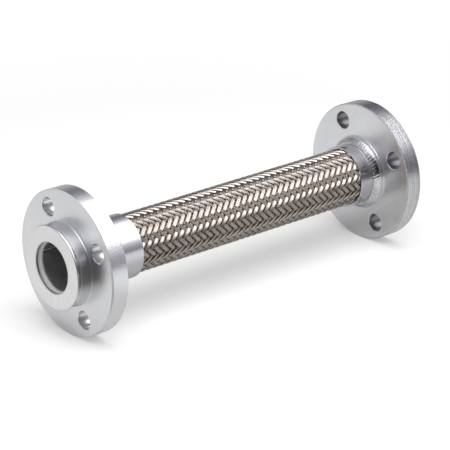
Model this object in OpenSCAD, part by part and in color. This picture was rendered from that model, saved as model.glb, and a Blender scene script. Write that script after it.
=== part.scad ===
// Braided metal hose with a loose lap-joint flange at one end and a welded slip-on flange at the other.
// It lies along X on the rims of its flanges, with the lap face at -X and the raised face at +X.

/* [Overall] */
// Length from the lap face to the raised face
overall_len = 365; // [300:1:700]

/* [Flanges] */
// Outside diameter of both flanges
flange_od = 127; // [120:0.5:150]
// Thickness of the flange plates
flange_t = 16.8; // [12:0.2:22]
// Bolt circle diameter
bolt_circle = 98.4; // [94:0.2:104]
// Diameter of the bolt holes
bolt_hole_d = 15.9; // [12:0.1:18]
// Number of bolt holes
bolt_count = 4; // [4:4:8]
// Turn of the bolt holes about the axis
bolt_turn = 62.5; // [0:0.5:90]
// Chamfer of the rims
rim_chamfer = 1.0; // [0.4:0.1:1.6]
// Chamfer of the bolt holes
hole_chamfer = 0.6; // [0.2:0.1:1]
// Diameter of the raised face and of the lap
face_d = 73; // [70:0.2:76]
// Height of the raised face
raised_face_h = 1.6; // [1:0.1:3]

/* [Hub of the welded flange] */
// Diameter of the hub
hub_d = 66.4; // [64:0.2:69]
// Height of the hub over the plate
hub_h = 4.0; // [3:0.2:8]
// Chamfer at the edge of the hub
hub_edge = 0.5; // [0.3:0.1:1.2]
// Fillet at the foot of the hub
hub_fillet = 1.2; // [0.6:0.1:2]
// Depth of the end pipe inside the raised face
pipe_recess = 5.0; // [4:0.2:8]

/* [Boss of the loose flange] */
// Length of the boss in front of the plate
boss_len = 10.7; // [6:0.1:16]
// How far the boss stays inside the lap's edge
boss_inset = 0.3; // [0.1:0.1:1.5]
// Fillet at the foot of the boss
boss_fillet = 1.0; // [0.4:0.1:2]

/* [Stub end and end pipe] */
// Outside diameter of the pipe
pipe_od = 48.3; // [47:0.1:49]
// Wall of the pipe
pipe_wall = 2.8; // [2:0.1:3.6]
// Thickness of the lap
lap_t = 3.6; // [2.8:0.1:5]
// Round at the mouth of the bore
mouth_round = 0.5; // [0.3:0.1:0.8]
// How much wider the mouth is than the pipe's bore, in radius
mouth_step = 0.7; // [0.4:0.1:0.9]
// Depth of the root weld that joins lap and pipe inside the mouth
root_depth = 4.4; // [3.8:0.1:5.4]
// Width of the root weld
root_w = 3.2; // [2.2:0.1:4]
// Round at the front edge of the lap
lap_round = 1.0; // [0.4:0.1:1.4]
// Root radius between lap and neck
lap_root = 2.2; // [1:0.1:3]
// Length of the stub end
stub_len = 46; // [40:0.5:60]

/* [Hose] */
// Diameter over the crests of the corrugations
hose_od = 48.0; // [46.5:0.1:48.6]
// Bore of the hose at the roots
hose_id = 38.4; // [36:0.1:40]
// Wall of the corrugated hose
hose_wall = 0.4; // [0.3:0.05:0.6]
// Target pitch of the corrugations
corrugation_pitch = 5.5; // [4.5:0.1:7]

/* [Braid] */
// Thickness of the braid with its raised strands
braid_t = 1.55; // [1.3:0.05:1.8]
// Strands that run each way round
strand_count = 24; // [20:2:28]
// Distance along the hose between neighbouring strands
strand_pitch = 6.93; // [6.4:0.01:8]
// Width of a strand as a share of its pitch
strand_fill = 0.86; // [0.75:0.01:0.92]
// Depth of the grooves between strands
groove_depth = 0.65; // [0.3:0.05:0.8]
// Turn of the weave about the axis
weave_turn = 9.4; // [0:0.1:30]
// Shift of the weave along the axis
weave_shift = 3.05; // [0:0.05:7]

/* [Ferrules and welds] */
// How far the ferrules stand out over the braid
ferrule_t = 2.4; // [1.6:0.1:3]
// Length of the ferrule behind the loose flange
ferrule_left_len = 26; // [18:0.5:34]
// Length of the ferrule at the welded flange
ferrule_right_len = 13.5; // [10:0.5:24]
// Width of the cap welds
cap_weld_w = 3.0; // [2:0.1:4]
// Width of the fillet weld on the hub
hub_weld_w = 2.0; // [1.5:0.1:4]
// Height of the step from ferrule to weld bead
bead_step = 1.0; // [0.4:0.1:1.4]

/* [Clearances] */
// Gap between the lap and the boss
lap_gap = 0.3; // [0.2:0.1:1]
// Radial gap of the loose flange on the neck
swivel_gap = 0.8; // [0.4:0.1:0.9]
// Radial gap of the end pipe in the slip-on bore
slip_gap = 0.5; // [0.2:0.1:0.8]
// Radial gap between braid and ferrule
ferrule_gap = 0.2; // [0.1:0.05:0.4]
// Radial gap between hose crests and braid
braid_gap = 0.05; // [0.03:0.01:0.2]

/* [Hidden] */
$fn = 96;
// Turn of the seam of every turned piece, so that the packed rims rest on a facet and don't roll off a corner
seam_turn = 11.1;
tiny = 0.01;
axis_z = flange_od / 2;
x_lap = -overall_len / 2;
x_raised = overall_len / 2;

// Left end, from the lap face inwards
x_lap_back = x_lap + lap_t;
x_boss = x_lap_back + lap_gap;
x_plate = x_boss + boss_len;
x_plate_back = x_plate + flange_t;
x_neck_end = x_lap + stub_len;
x_hose_left = x_neck_end + cap_weld_w;
x_ferrule_left = x_hose_left + ferrule_left_len;

// Right end, from the raised face inwards
x_flange_front = x_raised - raised_face_h;
x_flange_back = x_flange_front - flange_t;
x_hub = x_flange_back - hub_h;
x_pipe_start = x_hub - hub_weld_w;
x_pipe_end = x_raised - pipe_recess;
x_hose_right = x_pipe_start - cap_weld_w;
x_ferrule_right = x_hose_right - ferrule_right_len;

pipe_r = pipe_od / 2;
bore_r = pipe_r - pipe_wall;
mouth_r = bore_r + mouth_step;
lap_r = face_d / 2;
boss_r = lap_r - boss_inset;
slip_r = pipe_r + slip_gap;
swivel_r = pipe_r + swivel_gap;

// The braid: 2 rings of low points per pitch on each line between two rows of strands
row_step = 360 / strand_count;
braid_od = hose_od + 2 * (braid_gap + braid_t);
braid_inner_r = (hose_od / 2 + braid_gap) / cos(row_step / 2);
braid_top_r = braid_od / 2 / cos(row_step / 2 * strand_fill);
braid_low_r = braid_top_r - groove_depth;
ferrule_inner_r = braid_top_r + ferrule_gap;
ferrule_r = braid_od / 2 + ferrule_t;
weave_start = weave_shift + strand_pitch
    * (floor((x_ferrule_left - weave_shift) / strand_pitch - 1.5) + 0.5);
weave_pitches = ceil((x_ferrule_right - weave_start) / strand_pitch + 1.5);

weld_floor_r = bore_r - 0.7;

// Points of an arc, as [radius, place along the hose]
function arc(cr, cx, r, a0, a1, n = 4) =
    [for (i = [0:n]) let (a = a0 + (a1 - a0) * i / n) [cr + r * cos(a), cx + r * sin(a)]];

// Turns a profile of [radius, x] points about the axis of the hose
module turned(points) {
    on_axis() rotate([0, 0, seam_turn]) rotate_extrude() polygon(points);
}

module on_axis() {
    translate([0, 0, axis_z]) rotate([0, 90, 0]) children();
}

// Bolt holes with a chamfer on both faces of a plate between x0 and x1
module bolt_holes(x0, x1) {
    hole_r = bolt_hole_d / 2;
    for (i = [0:bolt_count - 1])
        on_axis() rotate([0, 0, bolt_turn + i * 360 / bolt_count])
            translate([bolt_circle / 2, 0, 0]) {
                translate([0, 0, x0 - 1]) cylinder(r = hole_r, h = x1 - x0 + 2);
                translate([0, 0, x0 - tiny])
                    cylinder(r1 = hole_r + hole_chamfer + tiny, r2 = hole_r, h = hole_chamfer + tiny);
                translate([0, 0, x1 - hole_chamfer])
                    cylinder(r1 = hole_r, r2 = hole_r + hole_chamfer + tiny, h = hole_chamfer + tiny);
            }
}

module stub_end() {
    color("silver") turned(concat(
        arc(mouth_r + mouth_round, x_lap + mouth_round, mouth_round, 180, 270),
        arc(lap_r - lap_round, x_lap + lap_round, lap_round, -90, 0),
        arc(lap_r - lap_round / 2, x_lap_back - lap_round / 2, lap_round / 2, 0, 90, 2),
        arc(pipe_r + lap_root, x_lap_back + lap_root, lap_root, 270, 180),
        [[pipe_r, x_neck_end], [bore_r, x_neck_end]],
        [for (i = [0:4]) let (a = 90 * i / 4)
            [mouth_r - mouth_step * cos(a), x_lap + root_depth + root_w * (1 - sin(a))]]));
}

module loose_flange() {
    relief = lap_root + 0.4;
    color("lightsteelblue") difference() {
        turned(concat(
            [[swivel_r, x_boss + relief], [swivel_r + relief, x_boss]],
            [[boss_r - rim_chamfer / 2, x_boss], [boss_r, x_boss + rim_chamfer / 2]],
            arc(boss_r + boss_fillet, x_plate - boss_fillet, boss_fillet, 180, 90, 3),
            [[flange_od / 2 - rim_chamfer, x_plate], [flange_od / 2, x_plate + rim_chamfer],
             [flange_od / 2, x_plate_back - rim_chamfer], [flange_od / 2 - rim_chamfer, x_plate_back],
             [swivel_r + rim_chamfer, x_plate_back], [swivel_r, x_plate_back - rim_chamfer]]));
        bolt_holes(x_plate, x_plate_back);
    }
}

module fixed_flange() {
    color("lightsteelblue") difference() {
        turned(concat(
            [[slip_r, x_hub], [hub_d / 2 - hub_edge, x_hub], [hub_d / 2, x_hub + hub_edge]],
            arc(hub_d / 2 + hub_fillet, x_flange_back - hub_fillet, hub_fillet, 180, 90, 3),
            [[flange_od / 2 - rim_chamfer, x_flange_back], [flange_od / 2, x_flange_back + rim_chamfer],
             [flange_od / 2, x_flange_front - rim_chamfer], [flange_od / 2 - rim_chamfer, x_flange_front],
             [lap_r, x_flange_front], [lap_r, x_raised - 0.3], [lap_r - 0.3, x_raised],
             [slip_r, x_raised]]));
        bolt_holes(x_flange_back, x_flange_front);
    }
}

module end_pipe() {
    color("silver") turned([[bore_r, x_pipe_start], [pipe_r, x_pipe_start],
                            [pipe_r, x_pipe_end], [bore_r, x_pipe_end]]);
}

// Weld that caps the ends of hose, braid and ferrule on the end of the neck
module cap_weld_left() {
    color("gray") turned(concat(
        [[weld_floor_r, x_neck_end], [pipe_r, x_neck_end], [pipe_r, x_neck_end - 1.6]],
        [for (i = [1:5]) let (t = i / 5)
            [pipe_r + (ferrule_r - pipe_r) * sin(90 * t), x_neck_end - 1.6 + (cap_weld_w + 1.6) * t * t]],
        [[weld_floor_r, x_hose_left]]));
}

// The dressed bead from the right ferrule to the hub, as [radius, x]: cap weld and fillet weld share it
function bead(x) =
    let (t = (x - x_hose_right) / (x_hub - x_hose_right), foot = ferrule_r + bead_step)
    [foot + (hub_d / 2 - hub_edge - 0.1 - foot) * (0.72 * t + 0.28 * sin(90 * t)), x];

module cap_weld_right() {
    color("gray") turned(concat(
        [[weld_floor_r, x_hose_right], [ferrule_r + bead_step - 0.35, x_hose_right]],
        [for (i = [0:4]) bead(x_hose_right + 0.35 + (cap_weld_w - 0.35) * i / 4)],
        [[weld_floor_r, x_pipe_start]]));
}

module fillet_weld_back() {
    color("gray") turned(concat(
        [[pipe_r, x_pipe_start]],
        [for (i = [0:3]) bead(x_pipe_start + hub_weld_w * i / 3)],
        [[pipe_r, x_hub]]));
}

module fillet_weld_front() {
    leg = pipe_recess * 0.55;
    color("gray") turned([[slip_r - leg, x_pipe_end], [slip_r, x_pipe_end], [slip_r, x_pipe_end + leg],
                          [slip_r - leg * 0.45, x_pipe_end + leg * 0.45]]);
}

module ferrule(x0, x1, open_end) {
    lip = 0.6;
    turned(open_end > 0
        ? [[ferrule_inner_r, x0], [ferrule_r, x0], [ferrule_r, x1 - lip], [ferrule_r - lip, x1],
           [ferrule_inner_r + lip / 2, x1], [ferrule_inner_r, x1 - lip / 2]]
        : [[ferrule_inner_r, x0 + lip / 2], [ferrule_inner_r + lip / 2, x0], [ferrule_r - lip, x0],
           [ferrule_r, x0 + lip], [ferrule_r, x1], [ferrule_inner_r, x1]]);
}

module ferrule_left() { color("slategray") ferrule(x_hose_left, x_ferrule_left, 1); }

module ferrule_right() { color("slategray") ferrule(x_ferrule_right, x_hose_right, -1); }

// Annular corrugations: a rounded crest, a flank, a rounded root and a flank per pitch
module inner_hose() {
    length = x_hose_right - x_hose_left;
    count = round(length / corrugation_pitch);
    pitch = length / count;
    crest = hose_od / 2;
    root = hose_id / 2 + hose_wall;
    round_part = 0.5;
    // One pitch, as [share of the pitch, share of the depth]
    wave = [[0, 1], [0.14, 0.93], [0.24, 0.72], [0.27, 0.28], [0.36, 0.07], [0.5, 0],
            [0.64, 0.07], [0.73, 0.28], [0.76, 0.72], [0.86, 0.93]];
    outer = [for (i = [0:count - 1], w = wave)
        [root + (crest - root) * w[1], x_hose_left + pitch * (i + w[0])]];
    // The inner skin is narrower at the crests and wider at the roots
    skin = function (s) s + hose_wall / pitch * (s < 0.5 ? -1 : 1) * (s == 0 || s == 0.5 ? 0 : round_part);
    inner = [for (i = [count - 1:-1:0], k = [len(wave) - 1:-1:0]) let (w = wave[k])
        [root + (crest - root) * w[1] - hose_wall, x_hose_left + pitch * (i + skin(w[0]))]];
    color("darkgray") turned(concat(outer, [[crest, x_hose_right], [crest - hose_wall, x_hose_right]], inner));
}

// Braid of 2 sets of strands, each over two and under two of the other set. The places where one set
// lies on top line up along the hose, so the strands show as rows of slanted pads that point left
// and right in turn. Each pad spans one row and moves on by one pitch across it.
module wire_braid() {
    rows = strand_count;
    last = 2 * weave_pitches;
    gap = (1 - strand_fill) / 2;
    point = function (r, a, x) [r * cos(a), r * sin(a), x];
    low = function (j, i) point(braid_low_r, weave_turn + j * row_step, weave_start + i * strand_pitch / 2);
    low_at = function (j, i) (j % rows) * (last + 1) + i;

    // A pad: [row, its first low point on the row's near line, the same on its far line]
    pads = [for (j = [0:rows - 1], k = [0:weave_pitches - 2]) let (odd = j % 2)
        if (odd == 1 || k < weave_pitches - 2)
            odd == 1 ? [j, 2 * k, 2 * k + 2] : [j, 2 * k + 3, 2 * k + 1]];
    pad_points = [for (p = pads)
        let (a0 = weave_turn + (p[0] + gap) * row_step, a1 = weave_turn + (p[0] + 1 - gap) * row_step,
             near = p[1] + (p[2] - p[1]) * gap, far = p[2] + (p[1] - p[2]) * gap,
             half = strand_pitch / 2)
        each [point(braid_top_r, a0, weave_start + (near + 2 * gap) * half),
              point(braid_top_r, a0, weave_start + (near + 2 - 2 * gap) * half),
              point(braid_top_r, a1, weave_start + (far + 2 - 2 * gap) * half),
              point(braid_top_r, a1, weave_start + (far + 2 * gap) * half)]];

    grid = [for (j = [0:rows - 1], i = [0:last]) low(j, i)];
    ends_at = len(grid) + len(pad_points);
    end_points = [for (e = [[braid_low_r, x_hose_left], [braid_inner_r, x_hose_left],
                            [braid_inner_r, x_hose_right], [braid_low_r, x_hose_right]],
                       j = [0:rows - 1]) point(e[0], weave_turn + j * row_step, e[1])];
    end_at = function (e, j) ends_at + e * rows + (j % rows);

    pad_faces = [for (n = [0:len(pads) - 1])
        let (j = pads[n][0], a = low_at(j, pads[n][1]), b = low_at(j + 1, pads[n][2]), t = len(grid) + 4 * n)
        each [[t, t + 3, t + 2, t + 1],
              [a, t, a + 1], [a + 1, t, t + 1], [a + 1, t + 1, a + 2],
              [b, b + 1, t + 3], [b + 1, t + 2, t + 3], [b + 1, b + 2, t + 2],
              [a, b, t + 3], [a, t + 3, t], [a + 2, t + 1, t + 2], [a + 2, t + 2, b + 2]]];

    // What is left of each row before its first and after its last pad, and the plain sleeve ends
    rest_faces = [for (j = [0:rows - 1])
        let (odd = j % 2, start_near = odd == 1 ? 0 : 3, start_far = odd == 1 ? 2 : 1,
             end_near = odd == 1 ? last - 2 : last - 1, end_far = odd == 1 ? last : last - 3)
        each concat(
            [for (i = [0:1:start_near - 1]) [low_at(j, i), low_at(j + 1, 0), low_at(j, i + 1)]],
            [for (i = [0:1:start_far - 1]) [low_at(j, start_near), low_at(j + 1, i), low_at(j + 1, i + 1)]],
            [for (i = [end_near:1:last - 1]) [low_at(j, i), low_at(j + 1, end_far), low_at(j, i + 1)]],
            [for (i = [end_far:1:last - 1]) [low_at(j, last), low_at(j + 1, i), low_at(j + 1, i + 1)]],
            [[end_at(0, j), end_at(0, j + 1), low_at(j + 1, 0), low_at(j, 0)],
             [end_at(1, j), end_at(1, j + 1), end_at(0, j + 1), end_at(0, j)],
             [end_at(2, j), end_at(2, j + 1), end_at(1, j + 1), end_at(1, j)],
             [end_at(3, j), end_at(3, j + 1), end_at(2, j + 1), end_at(2, j)],
             [low_at(j, last), low_at(j + 1, last), end_at(3, j + 1), end_at(3, j)]])];

    color("tan") on_axis() polyhedron(concat(grid, pad_points, end_points), concat(pad_faces, rest_faces));
}

stub_end();
loose_flange();
cap_weld_left();
ferrule_left();
inner_hose();
wire_braid();
ferrule_right();
cap_weld_right();
end_pipe();
fillet_weld_back();
fillet_weld_front();
fixed_flange();
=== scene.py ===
"""Braided metal hose between two flanges, lying on their rims on a white studio floor."""
import math

import bpy
import numpy as np
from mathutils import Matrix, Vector


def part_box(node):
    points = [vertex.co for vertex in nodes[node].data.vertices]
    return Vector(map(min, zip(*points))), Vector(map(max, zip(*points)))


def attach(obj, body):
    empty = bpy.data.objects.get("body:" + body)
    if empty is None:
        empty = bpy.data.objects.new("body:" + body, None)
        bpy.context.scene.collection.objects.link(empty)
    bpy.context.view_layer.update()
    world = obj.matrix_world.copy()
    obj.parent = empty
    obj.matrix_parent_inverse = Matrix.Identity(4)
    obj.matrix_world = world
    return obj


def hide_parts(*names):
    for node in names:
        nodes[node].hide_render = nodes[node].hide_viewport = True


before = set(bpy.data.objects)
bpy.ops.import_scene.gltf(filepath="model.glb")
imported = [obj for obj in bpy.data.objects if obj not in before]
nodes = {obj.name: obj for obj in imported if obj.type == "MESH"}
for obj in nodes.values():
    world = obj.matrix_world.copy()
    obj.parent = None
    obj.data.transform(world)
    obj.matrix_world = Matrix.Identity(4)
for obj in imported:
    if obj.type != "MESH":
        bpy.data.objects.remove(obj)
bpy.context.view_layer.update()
bpy.ops.object.select_all(action="DESELECT")
scene = bpy.context.scene
scene.view_settings.view_transform = "Standard"

MM = 0.001

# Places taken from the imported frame, in metres
flange_low, flange_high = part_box("fixed_flange")
AXIS_Z = (flange_low.z + flange_high.z) / 2
FLANGE_R = (flange_high.z - flange_low.z) / 2
FACE_X = flange_high.x
FERRULE_LEFT_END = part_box("ferrule_left")[1].x
FERRULE_RIGHT_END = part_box("ferrule_right")[0].x

# The flanges, measured from the hose's axis
RIM_R = FLANGE_R - 1 * MM    # the rim and its chamfers lie beyond it
CHAMFER_R = FLANGE_R - 0.1 * MM          # where the chamfers end
HOLES_R = 49.2 * MM          # middles of the bolt holes
HOLES_TURN = math.radians(62.5 - 45)     # of the upper back hole, past half a right angle
HOLE_WALL_R = 8.2 * MM       # just past a hole's wall, from the middle of the hole

# The two pipes: the stub end with its lap, and the end pipe
LAP_SIDE_R = 36.2 * MM       # the side of the lap lies beyond it
BORE_R = 23.1 * MM           # the inner walls lie short of it
MOUTH_FROM = FACE_X - 7.3 * MM           # the bright mouth, from the hose's middle
MOUTH_TO = FACE_X - 1.7 * MM
SEAM_R = 21.35 * MM
SEAM_TURN = math.radians(20)             # from +Y towards +Z
SEAM_HALF = 0.44 * MM        # half the width of the bright seam
GROOVE_HALF = 0.8 * MM       # half the width of the painted groove shadow beside it
GROOVE_SHIFT = 1.1 * MM      # from the middle of the seam to the middle of the groove

WELD_RIPPLES = 64            # that the torch leaves in one turn round a weld bead
RIPPLE_SLANT = 900           # radians of a ripple for each metre along the hose

# The weave, as in the solid sleeve that the strands stand for
STRANDS = 24                 # each way round
ROW = 360 / STRANDS          # degrees from one row of strands on top to the next
STRAND_PITCH = 6.93 * MM     # along the hose
WEAVE_TURN = 9.4             # degrees
WEAVE_SHIFT = 3.05 * MM
BRAID_R = 25.6 * MM
WIRES = 8                    # side by side in one strand
WIRE_D = 0.5 * MM
WIRE_FACES = 3               # across the outer side of each wire
STRAND_FILL = 0.77           # width of a strand as a share of the room it has
STRAND_BASE = 0.62 * WIRE_D  # depth of a strand under its crowned wires
WIRE_CROWN = 0.19 * MM       # height of each wire over the furrows beside it
STRAND_CROWN = 0.24 * MM     # height of a strand's middle over its edges
WAVE_RISE = 0.33 * MM        # from a strand's middle height to its top or its bottom
WAVE_STEPS = 10              # cuts in the length over which a strand goes over two and under two
WAVE_FLATS = 2.0             # the larger, the flatter the wave's tops and the steeper its slopes
PAINTED_SHADE_DEPTH = 0.7 * MM       # below the top of the braid, the painted shade on the wires is as dark as it gets
TUCK = 1 * MM                # least length of strand hidden under a ferrule


# Shader maths
class Sum:
    """A socket that adds Math nodes when it is used in an expression."""

    def __init__(self, paint, socket):
        self.paint, self.socket = paint, socket

    def _math(self, operation, *values):
        return self.paint.maths(operation, *values)

    def __add__(self, other):
        return self._math("ADD", self, other)

    def __radd__(self, other):
        return self._math("ADD", other, self)

    def __sub__(self, other):
        return self._math("SUBTRACT", self, other)

    def __rsub__(self, other):
        return self._math("SUBTRACT", other, self)

    def __mul__(self, other):
        return self._math("MULTIPLY", self, other)

    def __rmul__(self, other):
        return self._math("MULTIPLY", other, self)

    def __pow__(self, other):
        return self._math("POWER", self, other)

    def __abs__(self):
        return self._math("ABSOLUTE", self)


class Paint:
    """The emptied node tree of a material or of the world, with its output node."""

    def __init__(self, owner, output="OutputMaterial"):
        owner.use_nodes = True
        self.owner, self.tree = owner, owner.node_tree
        self.tree.nodes.clear()
        self.out = self.add(output)

    def add(self, kind, settings=None, **sockets):
        """Adds a node, sets its settings first, then the values or links of its sockets."""
        made = self.tree.nodes.new("ShaderNode" + kind)
        for key, value in (settings or {}).items():
            if key == "stops":
                ramp = made.color_ramp
                while len(ramp.elements) < len(value):
                    ramp.elements.new(0.5)
                for element, (place, colour) in zip(ramp.elements, value):
                    element.position = place
                    element.color = (*colour, 1)
            else:
                setattr(made, key, value)
        for key, value in sockets.items():
            self.set(made.inputs[key.replace("_", " ")], value)
        return made

    def set(self, socket, value):
        """Gives a socket its value, or links another socket to it."""
        if isinstance(value, Sum):
            value = value.socket
        if isinstance(value, bpy.types.NodeSocket):
            self.tree.links.new(value, socket)
        elif isinstance(value, tuple) and socket.type == "RGBA":
            socket.default_value = (*value, 1)
        else:
            socket.default_value = value

    def maths(self, operation, *values, clamp=False):
        made = self.add("Math", {"operation": operation, "use_clamp": clamp})
        for socket, value in zip(made.inputs, values):
            self.set(socket, value)
        return Sum(self, made.outputs[0])

    def rise(self, value, start, over):
        """0 until the value is at start, and 1 from so much further on."""
        return self.maths("MULTIPLY_ADD", value, 1 / over, -start / over, clamp=True)

    def fall(self, value, end, over):
        """0 once the value is at end, and 1 until so much before it."""
        return self.maths("MULTIPLY_ADD", value, -1 / over, end / over, clamp=True)

    def place(self):
        return self.add("TexCoord").outputs["Object"]

    def mapped(self, vector, **change):
        return self.add("Mapping", Vector=vector, **change).outputs[0]

    def joined(self, x, y):
        return self.add("CombineXYZ", X=x, Y=y).outputs[0]

    def parts(self, vector):
        made = self.add("SeparateXYZ", Vector=vector)
        return [Sum(self, part) for part in made.outputs]

    def noise(self, vector, scale, detail, rough):
        made = self.add("TexNoise", Vector=vector, Scale=scale, Detail=detail, Roughness=rough)
        return Sum(self, made.outputs["Fac"])

    def ramp(self, value, stops):
        return self.add("ValToRGB", {"stops": stops}, Fac=value).outputs["Color"]

    def mix(self, factor, a, b):
        made = self.add("Mix", {"data_type": "RGBA"})
        for index, value in ((0, factor), (6, a), (7, b)):
            self.set(made.inputs[index], value)
        return made.outputs[2]

    def bump(self, height, distance, strength=0.5):
        made = self.add("Bump", Height=height, Distance=distance, Strength=strength)
        return made.outputs["Normal"]

    def finish(self, shader):
        self.set(self.out.inputs["Surface"], shader.outputs[0])
        return self.owner

    def metal(self, colour, roughness, normal=None, metallic=1.0):
        shader = self.add("BsdfPrincipled", Base_Color=colour, Roughness=roughness,
                          Metallic=metallic)
        if normal is not None:
            self.set(shader.inputs["Normal"], normal)
        return self.finish(shader)


# Metals
def on_axis(paint):
    """Object coordinates with the hose's axis as their X axis, in metres."""
    return paint.mapped(paint.place(), Location=(0, 0, -AXIS_Z))


def radius_of(paint):
    """Distance from the axis of the hose, and the place along it."""
    along, y, z = paint.parts(on_axis(paint))
    return (y * y + z * z) ** 0.5, along


def bolt_holes(paint):
    """1 on the walls of a flange's four bolt holes, 0 elsewhere."""
    _, y, z = paint.parts(paint.mapped(on_axis(paint), Rotation=(-HOLES_TURN, 0, 0)))
    off_y, off_z = (abs(side) - HOLES_R / 2 ** 0.5 for side in (y, z))
    return paint.fall((off_y * off_y + off_z * off_z) ** 0.5, HOLE_WALL_R, MM / 4)


def turned_steel():
    """Zinc-grey steel off the lathe: fine rings on the faces, dull chamfers and pitted rims."""
    paint = Paint(bpy.data.materials.new("turned_steel"))
    radius, along = radius_of(paint)
    rings = paint.joined(radius, along)
    lathe = paint.noise(rings, 2600, 2, 0.6)
    coarse = paint.noise(rings, 420, 2, 0.5)
    blotch = paint.noise(paint.place(), 34, 4, 0.6)
    pits = paint.noise(paint.place(), 900, 2, 0.5)
    rim = paint.rise(radius, RIM_R, MM / 3)
    chamfer = rim * paint.fall(radius, CHAMFER_R, MM / 5)

    # Painted shade darkens the bolt holes, most of all the welded flange's; the welded flange's rim
    # is darker and mottled
    colour = paint.ramp(blotch, [(0.3, (0.73, 0.735, 0.75)), (0.7, (0.79, 0.795, 0.805))])
    dark = bolt_holes(paint) * paint.rise(along, -265.2 * MM, 434.8 * MM)
    colour = paint.mix(dark, colour, (0.26, 0.26, 0.27))
    scale = paint.ramp(coarse + 0.6 * pits,
                       [(0.65, (0.34, 0.34, 0.35)), (0.95, (0.66, 0.66, 0.67))])
    colour = paint.mix(rim * paint.rise(along, 0, 100 * MM), colour, scale)

    rough = 0.22 + 0.08 * lathe + 0.08 * blotch - 0.08 * rim + 0.45 * chamfer
    height = 0.5 * lathe + 0.4 * coarse + (0.25 + 2.2 * rim) * pits
    return paint.metal(colour, rough, paint.bump(height, 0.06 * MM, 0.55), 1 - 0.55 * chamfer)


def drawn_pipe():
    """Pipe steel with faint lines round it. Inside: a bright, less metallic mouth, a wall beyond it
    painted darker as shade, and a seam with a painted groove shadow beside it.
    """
    paint = Paint(bpy.data.materials.new("drawn_pipe"))
    radius, along = radius_of(paint)
    lathe = paint.noise(paint.joined(radius, along * 0.3), 2200, 2, 0.6)
    blotch = paint.noise(paint.mapped(paint.place(), Scale=(0.35, 1, 1)), 60, 4, 0.6)
    lap_side = paint.rise(radius, LAP_SIDE_R, MM / 3)
    inside = paint.fall(radius, BORE_R, MM / 3)
    outermost = paint.rise(abs(along), MOUTH_FROM, MM * 2.5)
    mouth = outermost * paint.fall(abs(along), MOUTH_TO, MM / 1.5)
    _, y, z = paint.parts(on_axis(paint))
    past_seam = SEAM_R * (paint.maths("ARCTAN2", z, y) - SEAM_TURN)
    seam = inside * paint.fall(abs(past_seam), SEAM_HALF, MM / 5)
    groove_shadow = (inside * (1 - outermost)
              * paint.fall(abs(past_seam + GROOVE_SHIFT), GROOVE_HALF, MM / 3))

    colour = paint.ramp(blotch, [(0.3, (0.76, 0.76, 0.77)), (0.7, (0.82, 0.82, 0.82))])
    # Painted shade: the wall inside the bore, past the mouth, is darker, and a painted groove
    # shadow runs beside the seam
    colour = paint.mix(inside * (1 - mouth), colour, (0.62, 0.61, 0.61))
    colour = paint.mix(groove_shadow, colour, (0.08, 0.08, 0.08))
    rough = (0.18 + 0.10 * lathe + 0.08 * blotch - 0.12 * lap_side
             + inside * (0.23 + 0.2 * mouth) + 0.2 * seam)
    metallic = 1 - 0.75 * paint.maths("MAXIMUM", inside * mouth, seam)
    return paint.metal(colour, rough, paint.bump(lathe, 0.04 * MM), metallic)


def ferrule_steel():
    """Rolled collar: bright and smooth, with faint lines round it."""
    paint = Paint(bpy.data.materials.new("ferrule_steel"))
    radius, along = radius_of(paint)
    lines = paint.noise(paint.joined(along, radius * 0.2), 1500, 2, 0.6)
    blotch = paint.noise(paint.place(), 55, 4, 0.6)
    colour = paint.ramp(blotch, [(0.3, (0.62, 0.62, 0.64)), (0.7, (0.67, 0.67, 0.69))])
    rough = 0.13 + 0.06 * lines + 0.06 * blotch
    return paint.metal(colour, rough, paint.bump(lines, 0.03 * MM))


def weld_metal():
    """Weld bead: mottled grey with the ripples that the torch leaves."""
    paint = Paint(bpy.data.materials.new("weld_metal"))
    along, y, z = paint.parts(on_axis(paint))
    turn = paint.maths("ARCTAN2", z, y)
    ripple = paint.maths("SINE", turn * WELD_RIPPLES + along * RIPPLE_SLANT)
    grain = paint.noise(paint.place(), 420, 4, 0.6)
    colour = paint.ramp(grain, [(0.3, (0.46, 0.46, 0.47)), (0.7, (0.80, 0.80, 0.82))])
    height = 0.6 * ripple + grain
    return paint.metal(colour, 0.11 + 0.16 * grain, paint.bump(height, 0.12 * MM))


def hose_steel():
    """Annealed sheet of the corrugated hose: a little warm, with soft blotches."""
    paint = Paint(bpy.data.materials.new("hose_steel"))
    blotch = paint.noise(paint.place(), 120, 4, 0.6)
    colour = paint.ramp(blotch, [(0.3, (0.52, 0.50, 0.48)), (0.7, (0.66, 0.65, 0.63))])
    return paint.metal(colour, 0.30 + 0.12 * blotch)


def braid_wire():
    """Bright drawn wire, a little warm, with painted shade down in the gaps and at the edges of the
    strands.
    """
    paint = Paint(bpy.data.materials.new("braid_wire"))
    across, along, _ = paint.parts(paint.add("UVMap", {"uv_map": "wires"}).outputs[0])
    radius, _ = radius_of(paint)
    streak = paint.noise(paint.joined(across * 26, along * 0.8), 1.0, 3, 0.6)
    patch = paint.noise(paint.place(), 160, 3, 0.6)
    bright = paint.ramp(0.55 * streak + 0.45 * patch,
                        [(0.25, (0.36, 0.305, 0.26)), (0.5, (0.50, 0.445, 0.40)),
                         (0.75, (0.64, 0.605, 0.57))])
    # Painted shade: the wires go dark below the top of the braid and at the edges of each strand
    clear_of_painted_shade = paint.rise(radius, BRAID_R - PAINTED_SHADE_DEPTH, PAINTED_SHADE_DEPTH)
    clear_of_edge_shade = paint.fall(abs(across - 0.5), 0.5, 1 / 7)
    colour = paint.mix(clear_of_painted_shade * clear_of_edge_shade, (0.025, 0.018, 0.014), bright)
    return paint.metal(colour, 0.14 + 0.10 * streak)


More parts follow.
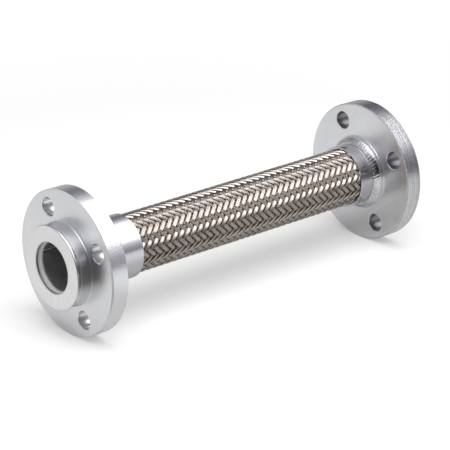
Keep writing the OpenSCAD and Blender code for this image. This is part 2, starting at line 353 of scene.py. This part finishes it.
# The braid
def pick(piece, kind, chosen):
    """Opens edit mode with only the chosen vertices or edges selected."""
    mesh = piece.data
    for part in (mesh.vertices, mesh.edges, mesh.polygons):
        part.foreach_set("select", np.zeros(len(part), bool))
    getattr(mesh, kind).foreach_set("select", chosen)
    scene.tool_settings.mesh_select_mode = (kind == "vertices", kind == "edges", False)
    bpy.ops.object.mode_set(mode="EDIT")


def move(piece, chosen, offset):
    """Moves the chosen vertices, as with the move tool in edit mode."""
    pick(piece, "vertices", chosen)
    bpy.ops.transform.translate(value=offset)
    bpy.ops.object.mode_set(mode="OBJECT")


def cut(piece, chosen, cuts):
    """Cuts the chosen edges evenly, and the faces between them."""
    pick(piece, "edges", chosen)
    bpy.ops.mesh.subdivide(number_cuts=cuts)
    bpy.ops.object.mode_set(mode="OBJECT")


def points(piece):
    co = np.empty(len(piece.data.vertices) * 3)
    piece.data.vertices.foreach_get("co", co)
    return co.reshape(-1, 3)


def edge_spans(piece):
    """Size of each edge along X, Y and Z, and its middle."""
    ends = np.empty(len(piece.data.edges) * 2, int)
    piece.data.edges.foreach_get("vertices", ends)
    co = points(piece)[ends.reshape(-1, 2)]
    return abs(co[:, 0] - co[:, 1]), co.mean(axis=1)


def select_only(pieces):
    """Selects the pieces and nothing else, with the first one active."""
    bpy.ops.object.select_all(action="DESELECT")
    for piece in pieces:
        piece.select_set(True)
    bpy.context.view_layer.objects.active = pieces[0]


def copied(model):
    """A copy of a piece, with its own mesh."""
    copy = model.copy()
    copy.data = model.data.copy()
    scene.collection.objects.link(copy)
    return copy


def strand():
    """One flat strand of wires, over two and under two, wound round the hose to the right."""
    middle_r = BRAID_R - WIRE_D
    slope = math.atan(math.radians(ROW) * middle_r / STRAND_PITCH)
    width = STRAND_FILL * STRAND_PITCH * math.sin(slope)
    step = 2 * STRAND_PITCH / WAVE_STEPS / math.cos(slope)
    reach = (FERRULE_RIGHT_END - FERRULE_LEFT_END) / 2 + STRAND_PITCH + TUCK
    steps = math.ceil(reach / math.cos(slope) / step)
    length = 2 * steps * step
    faces = WIRE_FACES * WIRES

    # A flat bar along X with its outer side towards -Y
    bpy.ops.mesh.primitive_cube_add(size=1, scale=(length, STRAND_BASE, width))
    bpy.ops.object.transform_apply()
    piece = bpy.context.object
    span, middle = edge_spans(piece)
    cut(piece, (span[:, 2] > width / 2) & (middle[:, 1] < 0), faces - 1)
    span, _ = edge_spans(piece)
    cut(piece, span[:, 0] > length / 2, 2 * steps - 1)

    # Crowned wires side by side
    flat = points(piece)
    line = np.round((flat[:, 2] / width + 0.5) * faces).astype(int)
    outer = flat[:, 1] < 0
    for number in range(1, faces):
        height = STRAND_CROWN * (1 - (2 * number / faces - 1) ** 2)
        if number % WIRE_FACES:
            height += WIRE_CROWN
        move(piece, outer & (line == number), (0, -height, 0))

    # Sharp furrows, so that each wire keeps its own round
    span, middle = edge_spans(piece)
    line = np.round((middle[:, 2] / width + 0.5) * faces).astype(int)
    furrow = (span[:, 0] > step / 2) & (middle[:, 1] < 0) & (line % WIRE_FACES == 0)
    pick(piece, "edges", furrow)
    bpy.ops.mesh.mark_sharp()
    bpy.ops.object.mode_set(mode="OBJECT")

    # Over two and under two
    ring = np.round(flat[:, 0] / step).astype(int)
    for number in range(WAVE_STEPS):
        swing = math.cos(2 * math.pi * number / WAVE_STEPS)
        swing = math.tanh(WAVE_FLATS * swing) / math.tanh(WAVE_FLATS)
        move(piece, ring % WAVE_STEPS == number, (0, -swing * WAVE_RISE, 0))

    # Its own UV map: across the strand from 0 to 1, and along it in pitches
    wires = piece.data.uv_layers.active
    wires.name = "wires"
    corner = np.empty(len(piece.data.loops), int)
    piece.data.loops.foreach_get("vertex_index", corner)
    across, along = flat[corner, 2] / width + 0.5, flat[corner, 0] / STRAND_PITCH
    wires.data.foreach_set("uv", np.column_stack([across, along]).ravel())

    # Laid at its slope and bent round the hose
    piece.rotation_euler.y = slope
    bpy.ops.object.transform_apply()
    bend = piece.modifiers.new("bend", "SIMPLE_DEFORM")
    bend.deform_method = "BEND"
    bend.deform_axis = "X"
    bend.angle = np.ptp(points(piece)[:, 2]) / middle_r
    bpy.ops.object.modifier_apply(modifier="bend")
    piece.location = (0, -middle_r, 0)
    bpy.ops.object.transform_apply()
    return piece


def mirrored(model):
    """The same strand wound to the left, with its faces outwards again."""
    piece = copied(model)
    select_only([piece])
    piece.scale.y = -1
    bpy.ops.object.transform_apply()
    bpy.ops.object.mode_set(mode="EDIT")
    bpy.ops.mesh.select_all(action="SELECT")
    bpy.ops.mesh.normals_make_consistent(inside=False)
    bpy.ops.object.mode_set(mode="OBJECT")
    return piece


def wound_set(name, model, wire, shift, turn):
    """Twelve turned copies of the model strand, moved along the hose, as one piece."""
    copies = []
    for i in range(STRANDS // 2):
        copy = copied(model)
        copy.rotation_euler.x = math.radians(turn + 2 * ROW * i)
        copy.location = (shift, 0, AXIS_Z)
        copies.append(copy)
    select_only(copies)
    bpy.ops.object.transform_apply()
    bpy.ops.object.join()
    piece = bpy.context.object
    piece.name = name
    piece.data.materials.append(wire)
    bpy.ops.object.shade_smooth()
    bpy.ops.object.select_all(action="DESELECT")
    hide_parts("wire_braid")
    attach(piece, "hose")


def braid():
    """All strands in four pieces: each way round, every other strand starts one pitch back."""
    wire = braid_wire()
    right_hand = strand()
    left_hand = mirrored(right_hand)
    # The model strand lies on top at its middle: at -Y the right-hand one, at +Y the other
    halfway = (FERRULE_LEFT_END + FERRULE_RIGHT_END) / 2
    crossing = round((halfway - WEAVE_SHIFT) / STRAND_PITCH)
    right_turn = (WEAVE_TURN + 1.5 * ROW - 180) % (2 * ROW)
    left_turn = (WEAVE_TURN + 0.5 * ROW) % (2 * ROW)
    right_shift = WEAVE_SHIFT + (crossing + 0.5) * STRAND_PITCH
    left_shift = WEAVE_SHIFT + crossing * STRAND_PITCH
    wound_set("strands_right_a", right_hand, wire, right_shift, right_turn)
    wound_set("strands_right_b", right_hand, wire, right_shift - STRAND_PITCH, right_turn)
    wound_set("strands_left_a", left_hand, wire, left_shift, left_turn)
    wound_set("strands_left_b", left_hand, wire, left_shift - STRAND_PITCH, left_turn)
    bpy.data.objects.remove(right_hand)
    bpy.data.objects.remove(left_hand)


braid()

# Finishes of the turned pieces
finishes = {
    turned_steel: ("loose_flange", "fixed_flange"),
    drawn_pipe: ("stub_end", "end_pipe"),
    ferrule_steel: ("ferrule_left", "ferrule_right"),
    weld_metal: ("cap_weld_left", "cap_weld_right", "fillet_weld_back", "fillet_weld_front"),
    hose_steel: ("inner_hose",),
}
for finish, names in finishes.items():
    material = finish()
    for name in names:
        nodes[name].data.materials.clear()
        nodes[name].data.materials.append(material)

# Camera
CAMERA_AT = Vector((-1136.4, -1352.5, 776.4)) * MM
TURN, TILT = -40.13, 67.75   # degrees: heading from +Y, and up from straight down
FOCAL_PX, PHOTO_PX = 2187.1, 450
SENSOR_MM = 36
lens = bpy.data.cameras.new("camera")
lens.sensor_width = SENSOR_MM
lens.lens = FOCAL_PX / PHOTO_PX * SENSOR_MM
lens.clip_end = 50
camera = bpy.data.objects.new("camera", lens)
camera.location = CAMERA_AT
camera.rotation_euler = (math.radians(TILT), 0, math.radians(TURN))
scene.collection.objects.link(camera)
scene.camera = camera

# Studio
FLOOR_SIZE = 16
SOFTBOX_AT, SOFTBOX_AIM = Vector((-0.2, -0.5, 1.3)), Vector((0, 0, 0.05))
SOFTBOX_SIZE, SOFTBOX_WATTS = 1.4, 15
# How bright the overhead light is, by the cosine of the angle from its middle
LIGHT_EDGE = [(0.18, 0), (0.42, 0.03), (0.56, 0.075), (0.64, 0.14), (0.72, 0.20), (0.81, 0.45),
              (0.88, 1)]


def front_left(x, y):
    """How far a place or a direction lies to the front and left, on the side of the camera."""
    return -0.64 * x - 0.77 * y


def white_paper():
    """White paper. What the metal mirrors of it has painted shade: a dark patch at the front left
    and a painted shadow under the hose.
    """
    paint = Paint(bpy.data.materials.new("white_paper"))
    ray = paint.add("LightPath").outputs
    seen = paint.maths("ADD", ray["Is Camera Ray"], ray["Is Transmission Ray"], clamp=True)
    glossy = Sum(paint, ray["Is Glossy Ray"])
    x, y, _ = paint.parts(paint.place())

    # It glows for the camera, more so where the softbox no longer reaches
    far_out = paint.rise((x * x + y * y) ** 0.5, 0.5, 0.8333)
    glow = (0.28 + 0.3 * far_out) * seen + 0.05 * glossy
    white = paint.add("AddShader")
    lit = paint.add("BsdfDiffuse", Color=(0.82, 0.82, 0.82))
    glowing = paint.add("Emission", Color=(1, 1, 1), Strength=glow)
    paint.set(white.inputs[0], lit.outputs[0])
    paint.set(white.inputs[1], glowing.outputs[0])

    # Painted reflections of shade, seen only in the metal: a dark patch at the front left, on the
    # camera's side, and a painted shadow under the hose
    before = (paint.rise(front_left(x, y), 0.0583, 0.1667) * paint.fall(x, -0.075, 0.125)
              * paint.fall(y, -0.0214, 0.0714))
    under = (0.30 * paint.fall(y, 0.02, 0.04) * paint.rise(y, -0.1583, 0.0833)
             * paint.fall(abs(x), 0.17, 0.05))
    paper = paint.add("MixShader", Fac=glossy * paint.maths("MAXIMUM", before, under))
    dim = paint.add("BsdfDiffuse", Color=(0.075, 0.068, 0.06))
    paint.set(paper.inputs[1], white.outputs[0])
    paint.set(paper.inputs[2], dim.outputs[0])
    return paint.finish(paper)


def studio_sky(world):
    """The light overhead and the dim room, for what the metal mirrors. Even light for the rest."""
    paint = Paint(world, "OutputWorld")
    x, y, height = paint.parts(paint.add("TexCoord").outputs["Generated"])

    # The room is darker at the back, with a window at the left there and a pale wall at the right
    room = paint.mix(paint.fall(y, 1, 2), (0.10, 0.105, 0.13), (0.21, 0.205, 0.235))
    window = paint.rise(-0.64 * x + 0.77 * y, 0.409, 0.4545)
    room = paint.mix(window, room, (0.60, 0.60, 0.61))
    wall = paint.rise(0.6 * x + 0.77 * y, 0.89, 0.1)
    room = paint.mix(wall, room, (0.60, 0.59, 0.59))

    # The light overhead is wider at the far left and stops at the right
    not_left = paint.rise(x, -0.6333, 0.0833)
    above = 0.27 * x - 0.29 * y + 0.92 * height + 0.2 * (1 - not_left)
    light = paint.ramp(above, [(place, (share, share, share)) for place, share in LIGHT_EDGE])
    light = Sum(paint, light) * paint.fall(x, 0.68, 0.1)
    mirrored_sky = paint.mix(light, room, (3.7, 3.7, 3.8))

    # The camera's side is dark
    dark = paint.rise(front_left(x, y), 0.5, 0.2857) * (0.25 + 0.75 * not_left)
    mirrored_sky = paint.mix(dark, mirrored_sky, (0.02, 0.02, 0.024))

    ray = paint.add("LightPath").outputs
    colour = paint.mix(ray["Is Glossy Ray"], (0.5, 0.5, 0.5), mirrored_sky)
    colour = paint.mix(ray["Is Camera Ray"], colour, (1, 1, 1))
    paint.finish(paint.add("Background", Color=colour))


bpy.ops.mesh.primitive_plane_add(size=FLOOR_SIZE)
floor = bpy.context.object
floor.name = "floor"
floor.data.materials.append(white_paper())
bpy.ops.object.select_all(action="DESELECT")

scene.world = bpy.data.worlds.new("studio")
studio_sky(scene.world)

softbox = bpy.data.lights.new("softbox", "AREA")
softbox.shape = "SQUARE"
softbox.size = SOFTBOX_SIZE
softbox.energy = SOFTBOX_WATTS
lamp = bpy.data.objects.new("softbox", softbox)
lamp.location = SOFTBOX_AT
lamp.rotation_euler = (SOFTBOX_AT - SOFTBOX_AIM).to_track_quat("Z", "Y").to_euler()
lamp.visible_glossy = False
scene.collection.objects.link(lamp)
